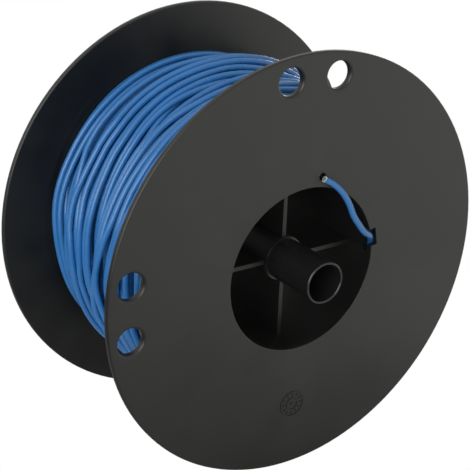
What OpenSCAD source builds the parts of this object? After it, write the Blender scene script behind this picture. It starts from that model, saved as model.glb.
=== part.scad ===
// Wire spool: a two-part moulded reel that turns on a centre tube, wound with single-core wire.
// The spool's axis runs along Y, the front flange faces -Y and +Z is up.
// The origin is on the axis, halfway between the outer faces of the two flanges.

/* [Flanges] */
// Diameter of both flanges
flange_d = 200; // [190:1:230]
// Width over the outer faces of the flanges
spool_w = 100; // [98:1:120]
// Thickness of a flange
flange_t = 2.8; // [2.4:0.1:3.2]
// Radius that rounds the outer edge of a flange
rim_round = 0.8; // [0.6:0.1:1.1]

/* [Barrel] */
// Outer diameter of the barrel that the wire is wound on
barrel_d = 84; // [83:0.5:86]
// Diameter of the opening through the flanges and the barrel
opening_d = 78; // [77.8:0.1:78.2]
// Length of the spigot that centres one barrel half in the other
spigot_l = 4; // [3:0.5:4]

/* [Hub] */
// Outer diameter of the centre tube
tube_od = 19.5; // [19:0.1:20]
// Bore of the centre tube
tube_id = 17.4; // [16:0.1:17.4]
// How far the centre tube stands out of the front flange
nose_l = 16; // [10:0.1:20]
// Radial clearance between the centre tube and the hub bosses
running_gap = 0.05; // [0.02:0.01:0.1]
// Wall of the hub bosses
boss_wall = 0.8; // [0.8:0.1:1.2]
// Thickness of the ribs that carry the hub bosses
rib_t = 2; // [1.6:0.1:2.4]
// How far the ribs lie behind the outer face of a flange
rib_setback = 15.5; // [12:0.5:18]
// Turn of the cross of ribs, clockwise from straight up
rib_turn = 2.5; // [0:0.5:5]

/* [Holes in the front flange] */
// Diameter of the rim holes
rim_hole_d = 12.2; // [11:0.1:14]
// Distance of the rim holes from the axis
rim_hole_r = 89.4; // [88:0.1:91]
// Angle between the two holes of a pair
rim_hole_step = 16.3; // [15:0.1:18]
// Radius that rounds the front lip of a rim hole
rim_hole_round = 1.4; // [0.4:0.1:1.4]
// Diameter of the hole that parks the wire's start
park_hole_d = 3.6; // [3.2:0.1:4]
// Distance of the parking hole from the axis
park_hole_r = 43.9; // [43.8:0.1:45]
// Angle of the parking hole, clockwise from straight up
park_hole_angle = 12.5; // [8:0.5:13]
// Width of the notch that lets the wire's start out
notch_w = 8.6; // [8.2:0.1:9]
// Angle of the notch, clockwise from straight up
notch_angle = 81.5; // [81.3:0.1:81.9]

/* [Wire] */
// Outer diameter of the wire's insulation
wire_d = 2.9; // [2.6:0.1:2.9]
// Diameter of the bundle of copper strands
strand_d = 1.7; // [1.5:0.1:2]
// Number of layers wound on the barrel
layer_count = 10; // [10:1:10]
// Radial pitch of the layers
layer_pitch = 3.4; // [3.3:0.05:3.4]

/* [Hidden] */
$fn = 96;
half_w = spool_w / 2;
inner_face = half_w - flange_t;
flange_r = flange_d / 2;
barrel_r = barrel_d / 2;
opening_r = opening_d / 2;
opening_round = 0.4;
tube_r = tube_od / 2;
bore_r = tube_id / 2;
boss_bore_r = tube_r + running_gap;
boss_r = boss_bore_r + boss_wall;
rib_face = half_w - rib_setback;
end_play = 0.3;
head_r = 12;
head_t = 2;
ring_t = 0.7;
ring_depth = 0.4;
ring_proud = 0.65;
ring_gap = 4.2;
socket_play = 0.05;
notch_r = barrel_r + 0.2;
slot_depth = 3.4;
slot_low = 7.7;
slot_high = 0.5;
rim_pair_angles = [3, -87.6];
hook_w = 8;
hook_in = 37;
hook_out = 38.15;
barb_out = 38.9;
catch_end = 6.4;
catch_play = 0.35;
solid_gap = 0.05;
mark_r = 68.3;
mark_angle = -176;
mark_d = 13.4;
mark_h = 0.25;
mark_ticks = 12;
tube_sides = 8;
plastic = [0.17, 0.175, 0.17];
tube_plastic = [0.2, 0.205, 0.2];
insulation = [0.2, 0.45, 0.72];
tinned = [0.82, 0.82, 0.8];

// Route of the wire's start: out of the first layer, through the notch and up to the parking hole
start_route = [
    [42.4, -45.6, -10], [43.2, -45.6, -6], [43.5, -45.5, -2.2], [42.9, -45.5, 0.6], [41.8, -46.1, 2.8],
    [40.4, -47.4, 4.6], [38.9, -49.1, 6], [36.8, -50.8, 8], [33, -52, 10.9], [28.9, -52.8, 16],
    [25, -53.2, 21.9], [22.5, -53.4, 27.4], [19.8, -53.4, 32.1], [16.8, -53.1, 36.1],
    [13.2, -52.5, 39.6], [10.1, -52, 41.7],
];
// Route of the wire's outer end, which lies on the winding at the side away from the front
end_route = [
    [76.3, -30, -13.5], [75.3, -29.1, -18.2], [74, -28.2, -22.9], [72.4, -27.3, -27.5],
    [70.6, -26.4, -32], [68.4, -25.5, -36.4], [66, -24.6, -40.6], [63.3, -23.7, -44.7],
    [60.4, -22.8, -48.6], [57.4, -21.9, -52.4], [54.3, -21, -56.2], [50.9, -20.1, -59.9],
];

rib_names = ["top", "right", "bottom", "left"];
layer_names = [for (i = [1:layer_count]) str("wire_layer_", i < 10 ? "0" : "", i)];

function unit(v) = v / norm(v);
function tangent(p, i) = unit(p[min(i + 1, len(p) - 1)] - p[max(i - 1, 0)]);
// Corner points of one ring of a swept tube
function tube_ring(p, i, r) = let (t = tangent(p, i), u = unit(cross(t, [0, 1, 0])), v = cross(t, u))
    [for (k = [0:tube_sides - 1]) let (a = 360 * k / tube_sides) p[i] + r * (cos(a) * u + sin(a) * v)];

// Quarter turn of points round a centre, for rounding a corner of a section
function corner(c, r, a0, a1, steps = 6) =
    [for (k = [0:steps]) let (a = a0 + (a1 - a0) * k / steps) c + r * [cos(a), sin(a)]];

// Lays a shape built round Z along the spool's axis, with its +Z end at the front
module along_axis() rotate([90, 0, 0]) children();

// Puts a shape at a radius and at an angle clockwise from straight up, seen from the front
module at_angle(angle, r) rotate([0, 0, 90 - angle]) translate([r, 0, 0]) children();

module sleeve(r_in, r_out, a0, a1)
    rotate_extrude() translate([r_in, a0]) square([r_out - r_in, a1 - a0]);

// Sweeps a round tube along a list of points
module swept_tube(points, d) {
    rings = len(points);
    n = tube_sides;
    polyhedron(
        points = [for (i = [0:rings - 1]) each tube_ring(points, i, d / 2)],
        faces = concat(
            [[for (k = [0:n - 1]) k]],
            [for (i = [0:rings - 2], k = [0:n - 1])
                [i * n + k, (i + 1) * n + k, (i + 1) * n + (k + 1) % n, i * n + (k + 1) % n]],
            [[for (k = [n - 1:-1:0]) (rings - 1) * n + k]]));
}

// Short round bundle that continues a route past its last point
module strand_end(points, d, length) {
    last = points[len(points) - 1];
    dir = tangent(points, len(points) - 1);
    turn = atan2(dir[1], dir[0]);
    lean = acos(dir[2]);
    translate(last) rotate([0, lean, turn]) cylinder(d = d, h = length, $fn = 32);
}

// Flat disc with a rounded rim and a rounded lip round its opening, its outer face at half_w
module flange_disc() rotate_extrude($fn = 180) polygon(concat(
    [[opening_r, inner_face], [flange_r - rim_round, inner_face]],
    corner([flange_r - rim_round, inner_face + rim_round], rim_round, -90, 0),
    corner([flange_r - rim_round, half_w - rim_round], rim_round, 0, 90),
    corner([opening_r + opening_round, half_w - opening_round], opening_round, 90, 180)));

// Cutter of the notch in the flange, and of the slot behind it in the barrel
module start_notch(a0, a1, low, high)
    at_angle(notch_angle, opening_r - 2) translate([0, -low, a0])
        cube([notch_r - opening_r + 2, low + high, a1 - a0]);

// Cutter of a rim hole, which leaves a rounded lip at the front
module rim_hole() rotate_extrude() polygon(concat(
    [[0, inner_face - 1], [rim_hole_d / 2, inner_face - 1]],
    corner([rim_hole_d / 2 + rim_hole_round, half_w - rim_hole_round], rim_hole_round, 180, 90),
    [[rim_hole_d / 2 + rim_hole_round, half_w + 1], [0, half_w + 1]]));

module front_flange() color(plastic) along_axis() difference() {
    flange_disc();
    for (pair = rim_pair_angles, side = [-0.5, 0.5])
        at_angle(pair + side * rim_hole_step, rim_hole_r) rim_hole();
    at_angle(park_hole_angle, park_hole_r) translate([0, 0, inner_face - 1])
        cylinder(d = park_hole_d, h = flange_t + 2, $fn = 48);
    start_notch(inner_face - 1, half_w + 1, notch_w / 2, notch_w / 2);
}

module rear_flange() color(plastic) mirror([0, 1, 0]) along_axis() flange_disc();

// Barrel half with the spigot, from the middle to the front flange
module front_barrel() color(plastic) along_axis() difference() {
    union() {
        sleeve(opening_r, barrel_r, 0, inner_face);
        sleeve(opening_r, (opening_r + barrel_r) / 2 - socket_play, -spigot_l, 1);
    }
    start_notch(inner_face - slot_depth, inner_face + 1, slot_low, slot_high);
}

// Barrel half with the socket, from the middle to the rear flange
module rear_barrel() color(plastic) along_axis() difference() {
    sleeve(opening_r, barrel_r, -inner_face, 0);
    translate([0, 0, -spigot_l - 0.2]) cylinder(r = (opening_r + barrel_r) / 2, h = spigot_l + 1);
}

module hub_boss(a0, a1) color(plastic) along_axis() sleeve(boss_bore_r, boss_r, a0, a1);

// One rib of the cross, between a hub boss and the barrel
module hub_rib(index, a0, a1) color(plastic) along_axis() difference() {
    intersection() {
        at_angle(rib_turn + 90 * index, 0) translate([0, -rib_t / 2, a0])
            cube([opening_r, rib_t, a1 - a0]);
        translate([0, 0, a0 - 1]) cylinder(r = opening_r, h = a1 - a0 + 2);
    }
    translate([0, 0, a0 - 1]) cylinder(r = boss_r, h = a1 - a0 + 2);
}

// Hooks on the front half of the barrel that hold the rear half
module snap_hooks() color(plastic) along_axis() for (k = [0:3])
    at_angle(45 + 90 * k, 0) intersection() {
        rotate([90, 0, 0]) linear_extrude(hook_w, center = true) polygon([
            [opening_r + 1, 10], [opening_r + 1, 3], [hook_out, 1], [hook_out, -catch_end - 0.1],
            [barb_out, -catch_end - 0.1], [barb_out, -catch_end - 0.8], [hook_in + 0.3, -catch_end - 3],
            [hook_in, -catch_end - 2.8], [hook_in, 8]]);
        translate([0, 0, -20]) cylinder(r = opening_r, h = 40);
    }

// Ledges on the rear half of the barrel, which the hooks grip behind
module catch_ledges() color(plastic) along_axis() for (k = [0:3]) intersection() {
    sleeve(hook_out + catch_play, opening_r, -catch_end, -catch_end + 2);
    at_angle(45 + 90 * k, hook_in) translate([0, -hook_w / 2, -catch_end - 1]) cube([4, hook_w, 4]);
}

// Plain round moulding mark: two rings, ticks and a dot
module mould_mark() color(plastic) along_axis() at_angle(mark_angle, mark_r)
    translate([0, 0, half_w]) linear_extrude(mark_h) {
        for (d = [mark_d, mark_d * 0.5]) difference() {
            circle(d = d);
            circle(d = d - 1.4);
        }
        for (k = [0:mark_ticks - 1]) rotate(360 * k / mark_ticks)
            translate([mark_d * 0.31, -0.35]) square([mark_d * 0.1, 0.7]);
        circle(d = 2);
    }

// Tube that the spool turns on, with a head behind the rear hub boss
module centre_tube() color(tube_plastic) along_axis() rotate_extrude() polygon([
    [bore_r, -rib_face - end_play - head_t], [head_r, -rib_face - end_play - head_t],
    [head_r, -rib_face - end_play], [tube_r, -rib_face - end_play], [tube_r, rib_face + end_play],
    [tube_r - ring_depth, rib_face + end_play], [tube_r - ring_depth, rib_face + end_play + ring_t],
    [tube_r, rib_face + end_play + ring_t], [tube_r, half_w + nose_l - 0.3],
    [tube_r - 0.3, half_w + nose_l], [bore_r + 0.2, half_w + nose_l], [bore_r, half_w + nose_l - 0.3]]);

// Open ring in the tube's groove, in front of the front hub boss
module tube_retaining_ring() color(tube_plastic) along_axis() difference() {
    sleeve(tube_r - ring_depth + solid_gap, tube_r + ring_proud,
        rib_face + end_play + solid_gap, rib_face + end_play + ring_t - solid_gap);
    at_angle(180, 0) translate([0, -ring_gap / 2, rib_face]) cube([head_r + 2, ring_gap, 3]);
}

// One wound layer as a plain sleeve; the first has a pocket where the wire's start leaves it
module wire_layer(i) color(insulation) along_axis() difference() {
    sleeve(barrel_r + layer_pitch * (i - 1) + solid_gap, barrel_r + layer_pitch * i - solid_gap,
        -inner_face + solid_gap, inner_face - solid_gap);
    if (i == 1) translate([opening_r, start_route[0][2], inner_face - 3.2])
        cube([10, notch_w + 10, 4]);
}

module wire_start_tail() color(insulation) swept_tube(start_route, wire_d);
module wire_start_strands() color(tinned) strand_end(start_route, strand_d, 0.6);
module wire_outer_tail() color(insulation) swept_tube(end_route, wire_d);
module wire_outer_strands() color(tinned) strand_end(end_route, strand_d, 0.6);

front_flange();
front_barrel();
hub_boss(0, rib_face);  // front_hub_boss
for (k = [0:3]) hub_rib(k, 0, rib_face);
rear_flange();
rear_barrel();
hub_boss(-rib_face, 0);  // rear_hub_boss
for (k = [0:3]) hub_rib(k, -rib_face, 0);
snap_hooks();
catch_ledges();
mould_mark();
centre_tube();
tube_retaining_ring();
for (i = [1:layer_count]) wire_layer(i);
wire_start_tail();
wire_start_strands();
wire_outer_tail();
wire_outer_strands();
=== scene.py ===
import math
import random

import bpy
import numpy as np
from mathutils import Matrix, Vector


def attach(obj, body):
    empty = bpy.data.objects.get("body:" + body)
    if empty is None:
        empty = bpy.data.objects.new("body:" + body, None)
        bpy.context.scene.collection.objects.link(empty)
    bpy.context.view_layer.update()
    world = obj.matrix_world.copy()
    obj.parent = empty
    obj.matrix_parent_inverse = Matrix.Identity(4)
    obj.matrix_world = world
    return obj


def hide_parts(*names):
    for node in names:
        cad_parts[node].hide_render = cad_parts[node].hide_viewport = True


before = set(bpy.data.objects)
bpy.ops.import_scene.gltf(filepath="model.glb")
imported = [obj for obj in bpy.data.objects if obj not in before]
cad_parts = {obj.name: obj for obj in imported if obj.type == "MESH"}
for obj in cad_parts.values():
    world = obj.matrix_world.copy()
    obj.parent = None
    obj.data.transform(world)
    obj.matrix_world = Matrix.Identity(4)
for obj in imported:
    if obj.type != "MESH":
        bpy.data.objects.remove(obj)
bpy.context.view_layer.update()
scene = bpy.context.scene
scene.view_settings.view_transform = "Standard"
mm = 0.001

spoolBody = "spool"
tubeBody = "tube"


def deselectAll():
    if bpy.context.object and bpy.context.object.mode != "OBJECT":
        bpy.ops.object.mode_set(mode="OBJECT")
    bpy.ops.object.select_all(action="DESELECT")


def makeActive(obj):
    deselectAll()
    obj.select_set(True)
    bpy.context.view_layer.objects.active = obj
    return obj


def applyPlace(obj):
    # moves the object's place into its mesh, so that it sits at the origin
    makeActive(obj)
    bpy.ops.object.transform_apply(location=True, rotation=True, scale=True)
    return obj


def applyModifier(obj, kind, **values):
    makeActive(obj)
    modifier = obj.modifiers.new(kind.lower(), kind)
    for name, value in values.items():
        setattr(modifier, name, value)
    bpy.ops.object.modifier_apply(modifier=modifier.name)
    return obj


cameraSet = {"azimuth": -34.205, "elevation": 24.737, "distance": 0.5973, "lens": 102.385,
             "aim": (-0.0212, -0.0270, 0.0140), "sensor": 36, "clip": (0.01, 50)}


def makeCamera():
    data = bpy.data.cameras.new("studioCamera")
    data.lens = cameraSet["lens"]
    data.sensor_width = cameraSet["sensor"]
    data.clip_start, data.clip_end = cameraSet["clip"]
    cam = bpy.data.objects.new("studioCamera", data)
    scene.collection.objects.link(cam)
    a = math.radians(cameraSet["azimuth"])
    e = math.radians(cameraSet["elevation"])
    back = Vector((math.sin(a) * math.cos(e), -math.cos(a) * math.cos(e), math.sin(e)))
    cam.location = Vector(cameraSet["aim"]) + back * cameraSet["distance"]
    cam.rotation_mode = "QUATERNION"
    cam.rotation_quaternion = (-back).to_track_quat("-Z", "Y")
    scene.camera = cam


makeCamera()
print("camera made")


def newGroup(name, inputs, outputs):
    group = bpy.data.node_groups.new(name, "ShaderNodeTree")
    for label, kind, value in inputs:
        socket = group.interface.new_socket(name=label, in_out="INPUT", socket_type=kind)
        socket.default_value = value
    for label, kind in outputs:
        group.interface.new_socket(name=label, in_out="OUTPUT", socket_type=kind)
    entry = group.nodes.new("NodeGroupInput")
    leave = group.nodes.new("NodeGroupOutput")
    return group, entry, leave


def mathNode(tree, operation, a, b, clamp=False):
    node = tree.nodes.new("ShaderNodeMath")
    node.operation = operation
    node.use_clamp = clamp
    for socket, value in zip(node.inputs, (a, b)):
        if hasattr(value, "is_linked"):
            tree.links.new(value, socket)
        else:
            socket.default_value = value
    return node.outputs[0]


def noiseNode(tree, coords, scale, detail=2.0, rough=0.5):
    node = tree.nodes.new("ShaderNodeTexNoise")
    node.inputs["Detail"].default_value = detail
    node.inputs["Roughness"].default_value = rough
    tree.links.new(coords, node.inputs["Vector"])
    if hasattr(scale, "is_linked"):
        tree.links.new(scale, node.inputs["Scale"])
    else:
        node.inputs["Scale"].default_value = scale
    return node.outputs["Fac"]


def buildSurfaceGroup():
    # slow unevenness plus fine grain, as a height and a 0 to 1 mask
    group, entry, leave = newGroup(
        "surfaceGrain",
        [("Grain Scale", "NodeSocketFloat", 2500.0), ("Wave Scale", "NodeSocketFloat", 25.0),
         ("Grain Share", "NodeSocketFloat", 0.3)],
        [("Height", "NodeSocketFloat"), ("Mask", "NodeSocketFloat")])
    coords = group.nodes.new("ShaderNodeTexCoord").outputs["Object"]
    fine = noiseNode(group, coords, entry.outputs["Grain Scale"], 3.0, 0.6)
    slow = noiseNode(group, coords, entry.outputs["Wave Scale"], 3.0, 0.5)
    grain = mathNode(group, "MULTIPLY", fine, entry.outputs["Grain Share"])
    height = mathNode(group, "ADD", slow, grain)
    group.links.new(height, leave.inputs["Height"])
    group.links.new(slow, leave.inputs["Mask"])
    return group


flowSet = {"lengthStretch": 3.0, "level": 0.72, "contrast": 1.8}


def buildFlowGroup():
    # streaks that run outwards from the hub and soft blotches, where the melt filled a flange
    group, entry, leave = newGroup(
        "mouldFlow",
        [("Streak Scale", "NodeSocketFloat", 5.0), ("Blotch Scale", "NodeSocketFloat", 30.0)],
        [("Flow", "NodeSocketFloat")])
    coords = group.nodes.new("ShaderNodeTexCoord").outputs["Object"]
    split = group.nodes.new("ShaderNodeSeparateXYZ")
    group.links.new(coords, split.inputs[0])
    angle = mathNode(group, "ARCTAN2", split.outputs["X"], split.outputs["Z"])
    flat = group.nodes.new("ShaderNodeVectorMath")
    flat.operation = "MULTIPLY"
    flat.inputs[1].default_value = (1, 0, 1)
    group.links.new(coords, flat.inputs[0])
    length = group.nodes.new("ShaderNodeVectorMath")
    length.operation = "LENGTH"
    group.links.new(flat.outputs["Vector"], length.inputs[0])
    join = group.nodes.new("ShaderNodeCombineXYZ")
    group.links.new(mathNode(group, "COSINE", angle, 0), join.inputs["X"])
    group.links.new(mathNode(group, "SINE", angle, 0), join.inputs["Y"])
    outwards = mathNode(group, "MULTIPLY", length.outputs["Value"], flowSet["lengthStretch"])
    group.links.new(outwards, join.inputs["Z"])
    streaks = noiseNode(group, join.outputs[0], entry.outputs["Streak Scale"], 2.0, 0.5)
    blotches = noiseNode(group, coords, entry.outputs["Blotch Scale"], 2.0, 0.45)
    both = mathNode(group, "SUBTRACT", mathNode(group, "ADD", streaks, blotches), flowSet["level"])
    group.links.new(mathNode(group, "MULTIPLY", both, flowSet["contrast"], clamp=True), leave.inputs["Flow"])
    return group


surfaceGrain = buildSurfaceGroup()
mouldFlow = buildFlowGroup()


def newMaterial(name):
    material = bpy.data.materials.new(name)
    material.use_nodes = True
    tree = material.node_tree
    shader = tree.nodes["Principled BSDF"]
    return material, tree, shader


def mixColour(tree, mask, low, high):
    ramp = tree.nodes.new("ShaderNodeMix")
    ramp.data_type = "RGBA"
    ramp.inputs["A"].default_value = (*low, 1)
    ramp.inputs["B"].default_value = (*high, 1)
    tree.links.new(mask, ramp.inputs["Factor"])
    return ramp.outputs["Result"]


def mapRange(tree, value, low, high):
    node = tree.nodes.new("ShaderNodeMapRange")
    node.inputs["From Min"].default_value = 0.3
    node.inputs["From Max"].default_value = 0.7
    node.inputs["To Min"].default_value = low
    node.inputs["To Max"].default_value = high
    tree.links.new(value, node.inputs["Value"])
    return node.outputs["Result"]


def surfaceMaterial(name, settings):
    material, tree, shader = newMaterial(name)
    grain = tree.nodes.new("ShaderNodeGroup")
    grain.node_tree = surfaceGrain
    grain.inputs["Grain Scale"].default_value = settings["grainScale"]
    grain.inputs["Wave Scale"].default_value = settings["waveScale"]
    grain.inputs["Grain Share"].default_value = settings["grainShare"]
    mask = grain.outputs["Mask"]
    if "streakScale" in settings:
        flow = tree.nodes.new("ShaderNodeGroup")
        flow.node_tree = mouldFlow
        flow.inputs["Streak Scale"].default_value = settings["streakScale"]
        flow.inputs["Blotch Scale"].default_value = settings["blotchScale"]
        mask = flow.outputs["Flow"]
    tree.links.new(mixColour(tree, mask, *settings["colours"]), shader.inputs["Base Color"])
    tree.links.new(mapRange(tree, mask, *settings["roughness"]), shader.inputs["Roughness"])
    bump = tree.nodes.new("ShaderNodeBump")
    bump.inputs["Strength"].default_value = settings["bump"]
    bump.inputs["Distance"].default_value = settings["bumpStep"]
    tree.links.new(grain.outputs["Height"], bump.inputs["Height"])
    tree.links.new(bump.outputs["Normal"], shader.inputs["Normal"])
    shader.inputs["Specular IOR Level"].default_value = settings.get("specular", 0.5)
    return material, shader


materialSet = {
    "spoolPlastic": {
        "colours": ((0.0040, 0.0044, 0.0040), (0.0062, 0.0066, 0.0058)), "roughness": (0.36, 0.46),
        "grainScale": 2600, "waveScale": 16, "grainShare": 0.05, "bump": 0.25, "bumpStep": 0.001},
    "flangePlastic": {
        "colours": ((0.0030, 0.0033, 0.0030), (0.0105, 0.0110, 0.0098)), "roughness": (0.37, 0.43),
        "streakScale": 2.6, "blotchScale": 30,
        "grainScale": 2600, "waveScale": 16, "grainShare": 0.05, "bump": 0.25, "bumpStep": 0.001},
    "tubePlastic": {
        "colours": ((0.0078, 0.0083, 0.0080), (0.0108, 0.0113, 0.0108)), "roughness": (0.24, 0.32),
        "grainScale": 1800, "waveScale": 40, "grainShare": 0.05, "bump": 0.2, "bumpStep": 0.0006},
    "wireInsulation": {
        "colours": ((0.022, 0.143, 0.39), (0.037, 0.186, 0.475)), "roughness": (0.22, 0.32),
        "specular": 0.55,
        "grainScale": 1500, "waveScale": 70, "grainShare": 0.1, "bump": 0.2, "bumpStep": 0.0003},
    "tinnedCopper": {
        "colours": ((0.80, 0.79, 0.77), (0.93, 0.92, 0.91)), "roughness": (0.2, 0.32),
        "grainScale": 3000, "waveScale": 900, "grainShare": 0.3, "bump": 0.3, "bumpStep": 0.00005},
}
spoolPlastic, _ = surfaceMaterial("spoolPlastic", materialSet["spoolPlastic"])
flangePlastic, _ = surfaceMaterial("flangePlastic", materialSet["flangePlastic"])
tubePlastic, _ = surfaceMaterial("tubePlastic", materialSet["tubePlastic"])
insulation, _ = surfaceMaterial("wireInsulation", materialSet["wireInsulation"])
tinned, tinnedShader = surfaceMaterial("tinnedCopper", materialSet["tinnedCopper"])
tinnedShader.inputs["Metallic"].default_value = 1.0
print("materials made")


def dress(obj, material):
    obj.data.materials.clear()
    obj.data.materials.append(material)


wireSet = {
    "diameter": 2.9 * mm,
    "strandRadius": 0.17 * mm,
    "proud": 1.7 * mm, "unevenness": 0.35 * mm, "buried": 0.3 * mm,
    "spread": 0.75, "squeeze": 0.45, "strandSeed": 5,
    "startRoute": [
        (42.4, -45.6, -10), (43.2, -45.6, -6), (43.5, -45.5, -2.2), (42.9, -45.5, 0.6), (41.8, -46.1, 2.8),
        (40.4, -47.4, 4.6), (38.9, -49.1, 6), (36.8, -50.8, 8), (33, -52, 10.9), (28.9, -52.8, 16),
        (25, -53.2, 21.9), (22.5, -53.4, 27.4), (19.8, -53.4, 32.1), (16.8, -53.1, 36.1),
        (13.2, -52.5, 39.6), (10.1, -52, 41.7)],
    "endRoute": [
        (76.3, -30, -13.5), (75.3, -29.1, -18.2), (74, -28.2, -22.9), (72.4, -27.3, -27.5),
        (70.6, -26.4, -32), (68.4, -25.5, -36.4), (66, -24.6, -40.6), (63.3, -23.7, -44.7),
        (60.4, -22.8, -48.6), (57.4, -21.9, -52.4), (54.3, -21, -56.2), (50.9, -20.1, -59.9)],
}


def freeEnd(name, route):
    # a round cord as one smooth curve through the route's points
    curve = bpy.data.curves.new(name, "CURVE")
    curve.dimensions = "3D"
    spline = curve.splines.new("BEZIER")
    spline.bezier_points.add(len(route) - 1)
    for point, place in zip(spline.bezier_points, route):
        point.co = Vector(place) * mm
        point.handle_left_type = point.handle_right_type = "AUTO"
    curve.bevel_depth = wireSet["diameter"] / 2
    curve.bevel_resolution = 5
    curve.resolution_u = 6
    curve.use_fill_caps = True
    obj = bpy.data.objects.new(name, curve)
    scene.collection.objects.link(obj)
    dress(obj, insulation)
    return obj


def cutStrands(name, route, proud):
    # bare strands that spread a little where the wire was cut
    tip = Vector(route[-1]) * mm
    heading = (tip - Vector(route[-2]) * mm).normalized()
    rng = random.Random(wireSet["strandSeed"])
    thick = wireSet["strandRadius"]
    places = [(0, 0)] + [(2.1, 60 * k) for k in range(6)] + [(4.15, 30 * k + 15) for k in range(12)]
    parts = []
    for ring, turn in places:
        root = Matrix.Rotation(math.radians(turn), 3, "Z") @ Vector((ring * thick, 0, 0))
        length = proud + rng.uniform(0.0, 1.0) * wireSet["unevenness"]
        spread = 1 + wireSet["spread"] * rng.uniform(0.8, 1.1)
        deselectAll()
        bpy.ops.mesh.primitive_cylinder_add(vertices=10, radius=thick, depth=length)
        strand = bpy.context.object
        applyModifier(strand, "BEVEL", width=0.03 * mm, segments=1)
        for vertex in strand.data.vertices:
            share = vertex.co.z / length + 0.5
            grow = 1 + wireSet["squeeze"] * share  # a cut strand is squeezed flat and wide
            vertex.co.x = vertex.co.x * grow + root.x * (1 + (spread - 1) * share)
            vertex.co.y = vertex.co.y * grow + root.y * (1 + (spread - 1) * share)
            vertex.co.z += length / 2 - wireSet["buried"]
        parts.append(strand)
    deselectAll()
    for part in parts:
        part.select_set(True)
    bpy.context.view_layer.objects.active = parts[0]
    bpy.ops.object.join()
    bundle = bpy.context.object
    bundle.name = name
    bpy.ops.object.transform_apply(location=True, rotation=True, scale=True)
    bundle.data.transform(heading.to_track_quat("Z", "Y").to_matrix().to_4x4())
    bundle.data.transform(Matrix.Translation(tip))
    bpy.ops.object.shade_smooth_by_angle(angle=math.radians(40))
    dress(bundle, tinned)
    return bundle


startTail = freeEnd("startTail", wireSet["startRoute"])
startStrands = cutStrands("startStrands", wireSet["startRoute"], wireSet["proud"])
outerTail = freeEnd("outerTail", wireSet["endRoute"])
outerStrands = cutStrands("outerStrands", wireSet["endRoute"], wireSet["proud"])
for tail, strands, route, node in ((startTail, startStrands, wireSet["startRoute"], "wire_start"),
                                   (outerTail, outerStrands, wireSet["endRoute"], "wire_outer")):
    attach(tail, spoolBody)
    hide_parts(node + "_tail")
    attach(strands, spoolBody)
    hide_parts(node + "_strands")
print("free ends made")


windingSet = {
    "innerTurns": 29, "outerTurns": 24, "innerLayers": 7, "layers": 10,
    "barrelRadius": 42 * mm, "innerFace": 47.2 * mm, "innerPitch": 3.55 * mm, "steps": 96,
    "startAngle": 103.3, "seed": 4, "tightStray": 1.0 * mm, "looseStray": 6.0 * mm,
    "sink": 0.5, "slack": 2.6 * mm,  # how gladly a wire drops into a dip, and how far it may leave its guide
    "highest": 74.6 * mm, "humpCost": 3.0,  # wires avoid lying higher than this
    "bareAngle": 243, "bareSpread": 20, "bareShift": 3 * mm,
    "endReach": 30 * mm, "endRadius": 77.5 * mm,
    "sideGap": 0.1 * mm,
    "strayWidth": (0.12, 0.32), "strayEvery": (0.35, 0.9),  # in turns
    "sideSteps": 13, "sideReach": 0.5 * mm,  # the places tried at each step
    "drift": 0.8,  # how far the wire keeps its heading
    "bendScale": 0.3 * mm, "bendCost": 0.2,
    "lookBack": 75, "joinSteps": 24, "bridgePasses": 30, "bridgeWidth": 7,
    "endTurns": 1.1, "endBlend": 0.3,
}


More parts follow.
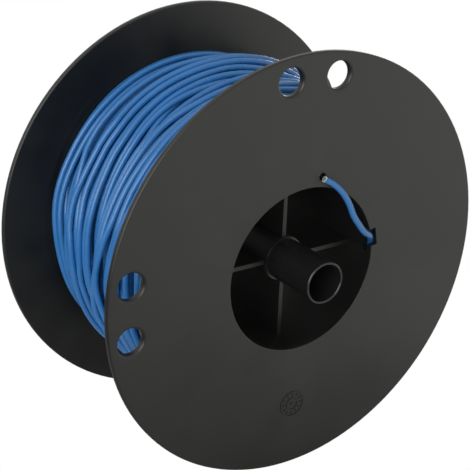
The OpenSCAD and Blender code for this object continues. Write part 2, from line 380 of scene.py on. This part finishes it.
def windingPath():
    # lays the wire turn by turn: each step rests on what lies below it, and the stiff wire bridges dips
    s = windingSet
    rng = np.random.default_rng(s["seed"])
    d = wireSet["diameter"]
    steps = s["steps"]
    turnsOf = [s["innerTurns"]] * s["innerLayers"] + [s["outerTurns"]] * (s["layers"] - s["innerLayers"])
    ends = np.cumsum(turnsOf)
    total = int(ends[-1])
    count = total * steps
    turns = np.arange(count) / steps
    layer = np.minimum(np.searchsorted(ends, turns, side="right"), s["layers"] - 1)
    within = (turns - (ends[layer] - np.array(turnsOf)[layer])) / np.array(turnsOf)[layer]
    angle = (s["startAngle"] + 360 * turns) % 360
    reach = s["innerFace"] - d / 2 - s["sideGap"]
    sign = np.where(layer % 2 == 0, 1.0, -1.0)
    guide = sign * reach * (1 - 2 * within)
    where = 0.0
    while where < total:
        loose = where > ends[s["innerLayers"] - 1]
        size = rng.normal(0, s["looseStray"] if loose else s["tightStray"])
        width = rng.uniform(*s["strayWidth"])
        guide += size * np.exp(-((turns - where) / width) ** 2)
        where += rng.uniform(*s["strayEvery"])
    bare = np.exp(-(((angle - s["bareAngle"] + 180) % 360 - 180) / s["bareSpread"]) ** 2)
    rearness = np.clip((10 * mm - guide) / (40 * mm), 0, 1)
    guide += s["bareShift"] * bare * rearness * (layer >= s["innerLayers"])
    last = np.clip((turns - total + s["endTurns"]) / s["endTurns"], 0, 1) ** 2
    guide = guide * (1 - last) + s["endReach"] * last
    guide = np.clip(guide, -reach, reach)
    placedA = np.full((total, steps), 9.0)
    placedR = np.zeros((total, steps))
    pathA = np.zeros(count)
    pathR = np.zeros(count)
    offsets = np.linspace(-1, 1, s["sideSteps"]) * s["sideReach"]
    half = s["bridgeWidth"] // 2
    spread = np.ones(s["bridgeWidth"]) / s["bridgeWidth"]
    a, slope = guide[0], 0.0
    for turn in range(total):
        raw = np.zeros(steps)
        low = max(0, turn - s["lookBack"])
        for j in range(steps):
            i = turn * steps + j
            base = s["barrelRadius"] + d / 2 + s["innerPitch"] * min(layer[i], s["innerLayers"] - 1)
            options = np.clip(a + slope * s["drift"] + offsets, -reach, reach)
            height = np.full(len(options), base)
            if turn:
                gap = options[:, None] - placedA[low:turn, j]
                rise = np.sqrt(np.maximum(0.0, d * d - gap * gap))
                stack = np.where(rise > 0, placedR[low:turn, j] + rise, 0.0).max(axis=1)
                height = np.maximum(stack, base)
            cost = (s["sink"] * height / mm + ((options - guide[i]) / s["slack"]) ** 2
                    + s["humpCost"] * np.maximum(0, height - s["highest"]) / mm
                    + (offsets / s["bendScale"]) ** 2 * s["bendCost"])
            best = int(np.argmin(cost))
            slope = options[best] - a
            a = options[best]
            pathA[i] = a
            raw[j] = height[best]
        before = pathR[max(0, turn * steps - s["joinSteps"]):turn * steps]
        lift = np.concatenate([before, raw])
        floor = lift.copy()
        for _ in range(s["bridgePasses"]):
            padded = np.pad(lift, half, mode="edge")
            lift = np.maximum(floor, np.convolve(padded, spread, mode="valid"))
        rows = slice(turn * steps, (turn + 1) * steps)
        pathR[rows] = lift[len(before):]
        placedA[turn], placedR[turn] = pathA[rows], pathR[rows]
    for _ in range(3):
        padded = np.pad(pathR, 1, mode="edge")
        pathR = (padded[:-2] + 2 * padded[1:-1] + padded[2:]) / 4
    tail = np.clip((turns - total + s["endBlend"]) / s["endBlend"], 0, 1)
    pathR = pathR * (1 - tail) + s["endRadius"] * tail
    pathA = pathA * (1 - tail) + s["endReach"] * tail
    turned = math.radians(s["startAngle"]) + 2 * math.pi * turns
    points = np.stack([pathR * np.sin(turned), -pathA, pathR * np.cos(turned)], axis=1)
    return points, layer, pathR


def windingLayers():
    points, layer, radius = windingPath()
    length = np.linalg.norm(np.diff(points, axis=0), axis=1).sum()
    print("winding: %.2f m, outer radius %.1f mm" % (length, (radius.max() + wireSet["diameter"] / 2) / mm))
    for k in range(windingSet["layers"]):
        index = np.nonzero(layer == k)[0]
        index = np.append(index, min(index[-1] + 1, len(points) - 1))
        outer = k >= windingSet["innerLayers"] - 1
        curve = bpy.data.curves.new("windingLayer%02d" % (k + 1), "CURVE")
        curve.dimensions = "3D"
        spline = curve.splines.new("POLY")
        spline.points.add(len(index) - 1)
        spline.points.foreach_set("co", np.column_stack([points[index], np.ones(len(index))]).ravel())
        curve.bevel_depth = wireSet["diameter"] / 2
        curve.bevel_resolution = 4 if outer else 1
        curve.use_fill_caps = True
        obj = bpy.data.objects.new(curve.name, curve)
        scene.collection.objects.link(obj)
        makeActive(obj)
        bpy.ops.object.convert(target="MESH")
        obj = bpy.context.object
        bpy.ops.object.shade_smooth()
        dress(obj, insulation)
        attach(obj, spoolBody)
        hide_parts("wire_layer_%02d" % (k + 1))
        print(obj.name, len(obj.data.polygons))


windingLayers()
print("winding made")


for name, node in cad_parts.items():
    if name in ("centre_tube", "tube_retaining_ring"):
        dress(node, tubePlastic)
    elif name in ("front_flange", "rear_flange"):
        dress(node, flangePlastic)
    elif not name.startswith("wire"):
        dress(node, spoolPlastic)


stageSet = {
    "floorZ": -0.1, "floorSize": 8.0, "floorReach": 0.8,
    # how bright the floor is in gloss, by distance from the middle as a share of floorReach; darkest near
    # the middle, a painted shadow under the spool
    "floorGlossPaintedShadow": ((0.0, 0.12), (0.04, 0.22), (0.09, 0.46), (0.17, 0.66), (0.24, 0.94), (0.38, 0.92),
                        (0.56, 1.11), (1.0, 1.25)),
    "leftEdge": (-0.22, 0.02), "leftPaintedShadeShare": 0.15,  # painted shade: the floor's left part is dimmer in gloss
    "mirrorTint": (1.0, 1.0, 0.955),
    "floorSpill": 0.46, "skySpill": 0.38, "skyMirror": 0.85,
}


def rayMix(tree, mirrorStrength, spill, shaderType):
    # seen straight on the set is white; in gloss it has its own brightness, and it lights softly
    path = tree.nodes.new("ShaderNodeLightPath")
    shaders = []
    for strength, colour in ((1.0, (1, 1, 1)), (mirrorStrength, stageSet["mirrorTint"]), (spill, (1, 1, 1))):
        node = tree.nodes.new(shaderType)
        node.inputs["Color"].default_value = (*colour, 1)
        if hasattr(strength, "is_linked"):
            tree.links.new(strength, node.inputs["Strength"])
        else:
            node.inputs["Strength"].default_value = strength
        shaders.append(node.outputs[0])
    glossy = tree.nodes.new("ShaderNodeMixShader")
    tree.links.new(path.outputs["Is Glossy Ray"], glossy.inputs["Fac"])
    tree.links.new(shaders[2], glossy.inputs[1])
    tree.links.new(shaders[1], glossy.inputs[2])
    seen = tree.nodes.new("ShaderNodeMixShader")
    tree.links.new(path.outputs["Is Camera Ray"], seen.inputs["Fac"])
    tree.links.new(glossy.outputs[0], seen.inputs[1])
    tree.links.new(shaders[0], seen.inputs[2])
    return seen.outputs[0]


def makeStage():
    deselectAll()
    bpy.ops.mesh.primitive_plane_add(size=stageSet["floorSize"], location=(0, 0, stageSet["floorZ"]))
    floor = bpy.context.object
    floor.name = "studioFloor"
    applyPlace(floor)
    material, tree, shader = newMaterial("paleFloor")
    tree.nodes.remove(shader)
    coords = tree.nodes.new("ShaderNodeTexCoord").outputs["Object"]
    flat = tree.nodes.new("ShaderNodeVectorMath")
    flat.operation = "MULTIPLY"
    flat.inputs[1].default_value = (1, 1, 0)
    tree.links.new(coords, flat.inputs[0])
    distance = tree.nodes.new("ShaderNodeVectorMath")
    distance.operation = "LENGTH"
    tree.links.new(flat.outputs["Vector"], distance.inputs[0])
    share = mathNode(tree, "DIVIDE", distance.outputs["Value"], stageSet["floorReach"], clamp=True)
    # painted shadow: the floor's gloss brightness falls towards the middle, under the spool
    ramp = tree.nodes.new("ShaderNodeFloatCurve")
    curve = ramp.mapping.curves[0]
    points = stageSet["floorGlossPaintedShadow"]
    top = max(bright for _, bright in points)
    for place, bright in points[1:-1]:
        curve.points.new(place, bright / top)
    curve.points[0].location = (0, points[0][1] / top)
    curve.points[len(points) - 1].location = (1, points[-1][1] / top)
    ramp.mapping.update()
    tree.links.new(share, ramp.inputs["Value"])
    # painted shade: the floor's left part is dimmed in gloss
    split = tree.nodes.new("ShaderNodeSeparateXYZ")
    tree.links.new(coords, split.inputs[0])
    side = tree.nodes.new("ShaderNodeMapRange")
    for label, value in zip(("From Min", "From Max", "To Min", "To Max"),
                            (*stageSet["leftEdge"], stageSet["leftPaintedShadeShare"] * top, top)):
        side.inputs[label].default_value = value
    tree.links.new(split.outputs["X"], side.inputs["Value"])
    bright = mathNode(tree, "MULTIPLY", ramp.outputs["Value"], side.outputs["Result"])
    out = tree.nodes["Material Output"]
    tree.links.new(rayMix(tree, bright, stageSet["floorSpill"], "ShaderNodeEmission"), out.inputs["Surface"])
    dress(floor, material)


def makeWorld():
    world = bpy.data.worlds.new("studioWorld")
    scene.world = world
    world.use_nodes = True
    tree = world.node_tree
    tree.nodes.clear()
    out = tree.nodes.new("ShaderNodeOutputWorld")
    tree.links.new(rayMix(tree, stageSet["skyMirror"], stageSet["skySpill"], "ShaderNodeBackground"),
                   out.inputs["Surface"])


lightSet = {
    "keyLight": {"place": (-1.15, -0.85, 0.62), "aim": (0, 0, 0), "size": 1.3, "power": 19},
    "sideLight": {"place": (0.75, 0.55, 0.16), "aim": (0, 0, 0.07), "size": 0.15, "power": 1.2},
}


def areaLight(name, place, aim, size, power):
    data = bpy.data.lights.new(name, "AREA")
    data.shape = "SQUARE"
    data.size = size
    data.energy = power
    light = bpy.data.objects.new(name, data)
    scene.collection.objects.link(light)
    light.location = place
    light.rotation_mode = "QUATERNION"
    light.rotation_quaternion = (Vector(aim) - Vector(place)).to_track_quat("-Z", "Y")


makeStage()
makeWorld()
for name, light in lightSet.items():
    areaLight(name, **light)
print("stage made")
